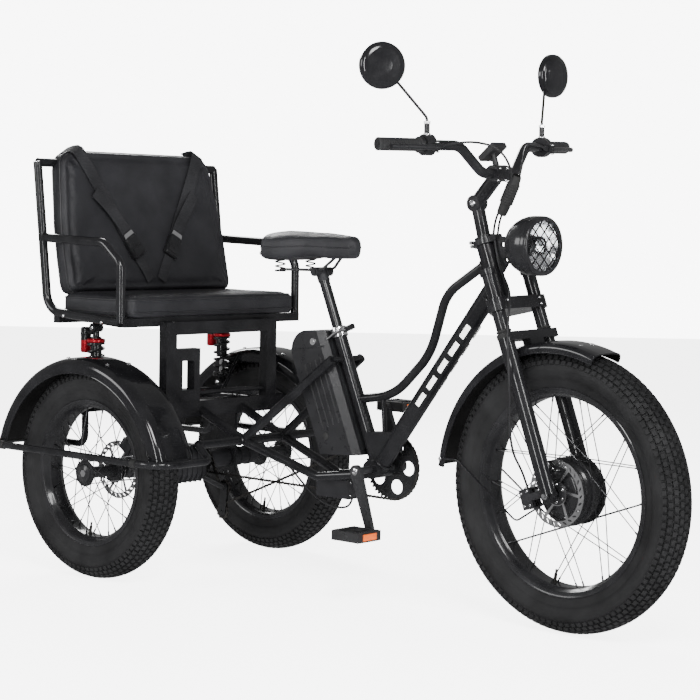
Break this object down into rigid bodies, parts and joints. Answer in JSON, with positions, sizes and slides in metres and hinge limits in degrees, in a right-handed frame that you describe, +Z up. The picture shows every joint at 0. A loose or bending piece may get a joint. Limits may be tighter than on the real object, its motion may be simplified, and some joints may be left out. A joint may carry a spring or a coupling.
{
  "type": "electric tricycle",
  "caption": "Electric tricycle with a steered front wheel, sprung saddle, pedals and a padded passenger bench with belts over the rear wheels.",
  "frame": {"origin": "on the ground below the middle of the whole outline", "axes": "+X forward, +Y to the rider's left, +Z up"},
  "size_m": [2.091, 0.916, 1.4611],
  "materials": {
    "gloss_frame": "gloss black paint",
    "axle_black": "satin black",
    "leatherette": "matte black leatherette",
    "webbing": "woven black strap",
    "gloss_fender": "gloss black",
    "battery_case": "satin black",
    "controller_case": "black anodised",
    "fork_black": "satin black",
    "dark_plastic": "matte black",
    "cable_skin": "smooth black outer",
    "steel_parts": "bare steel",
    "crank_alloy": "dark grey",
    "grip_rubber": "ribbed rubber",
    "lamp_glass": "clear",
    "tyre_rubber": "matte black",
    "rim_black": "satin black",
    "hub_motor": "satin black with bare steel spokes"
  },
  "bodies": {
    "chassis": {"head_tube": "gloss_frame", "down_tube": "gloss_frame", "seat_tube": "gloss_frame", "top_tube": "gloss_frame", "frame_gusset": "gloss_frame", "rear_stays": "gloss_frame", "rear_frame": "gloss_frame", "rear_axle": "axle_black", "rear_caliper": "axle_black", "bench_frame": "gloss_frame", "bench_portal": "gloss_frame", "bench_cushion": "leatherette", "backrest": "leatherette", "seat_belts": "webbing", "rear_fender_left": "gloss_fender", "rear_fender_right": "gloss_fender", "guard_bars": "gloss_frame", "shocks": "axle_black", "battery": "battery_case", "controller": "controller_case", "seat_post": "fork_black", "saddle_mount": "steel_parts", "saddle": "leatherette", "sprockets": "steel_parts", "chain": "steel_parts", "derailleur": "steel_parts", "cable_frame": "cable_skin"},
    "steering": {"fork_crown": "fork_black", "fork_sliders": "fork_black", "stem": "fork_black", "handlebar": "fork_black", "grips": "grip_rubber", "brake_levers": "fork_black", "mirror_left": "dark_plastic", "mirror_right": "dark_plastic", "headlight": "fork_black", "headlight_lens": "lamp_glass", "display": "dark_plastic", "front_caliper": "axle_black", "front_fender": "gloss_fender", "cable_left": "cable_skin", "cable_right": "cable_skin", "cable_brake": "cable_skin"},
    "front_wheel": {"front_tyre": "tyre_rubber", "front_rim": "rim_black", "front_hub": "hub_motor", "front_disc": "steel_parts"},
    "rear_wheel_left": {"rear_tyre_left": "tyre_rubber", "rear_rim_left": "rim_black", "rear_hub_left": "steel_parts"},
    "rear_wheel_right": {"rear_tyre_right": "tyre_rubber", "rear_rim_right": "rim_black", "rear_hub_right": "steel_parts", "rear_disc": "steel_parts"},
    "crank": {"crank": "crank_alloy", "chainring": "steel_parts"},
    "pedal_left": {"pedal_left": "dark_plastic"},
    "pedal_right": {"pedal_right": "dark_plastic"}
  },
  "joints": [
    {"name": "steering", "type": "hinge", "parent": "chassis", "child": "steering", "pos_m": [0.65036, 0, 0.33689], "axis": [-0.3502, 0, 0.9367], "range_deg": [-40.9, 49.1]},
    {"name": "front_wheel_spin", "type": "hinge", "parent": "steering", "child": "front_wheel", "pos_m": [0.69334, -0.00329, 0.35296], "axis": [0.067, 0.9974, 0.025], "continuous": true},
    {"name": "rear_wheel_left_spin", "type": "hinge", "parent": "chassis", "child": "rear_wheel_left", "pos_m": [-0.64755, 0.353, 0.297], "axis": [0, 1, 0], "continuous": true},
    {"name": "rear_wheel_right_spin", "type": "hinge", "parent": "chassis", "child": "rear_wheel_right", "pos_m": [-0.64755, -0.353, 0.297], "axis": [0, 1, 0], "continuous": true},
    {"name": "crank_spin", "type": "hinge", "parent": "chassis", "child": "crank", "pos_m": [0.07745, 0, 0.348], "axis": [0, 1, 0], "continuous": true},
    {"name": "pedal_left_spin", "type": "hinge", "parent": "crank", "child": "pedal_left", "pos_m": [0.02373, 0.092, 0.50401], "axis": [0, 1, 0], "continuous": true},
    {"name": "pedal_right_spin", "type": "hinge", "parent": "crank", "child": "pedal_right", "pos_m": [0.13117, -0.092, 0.19199], "axis": [0, 1, 0], "continuous": true}
  ]
}
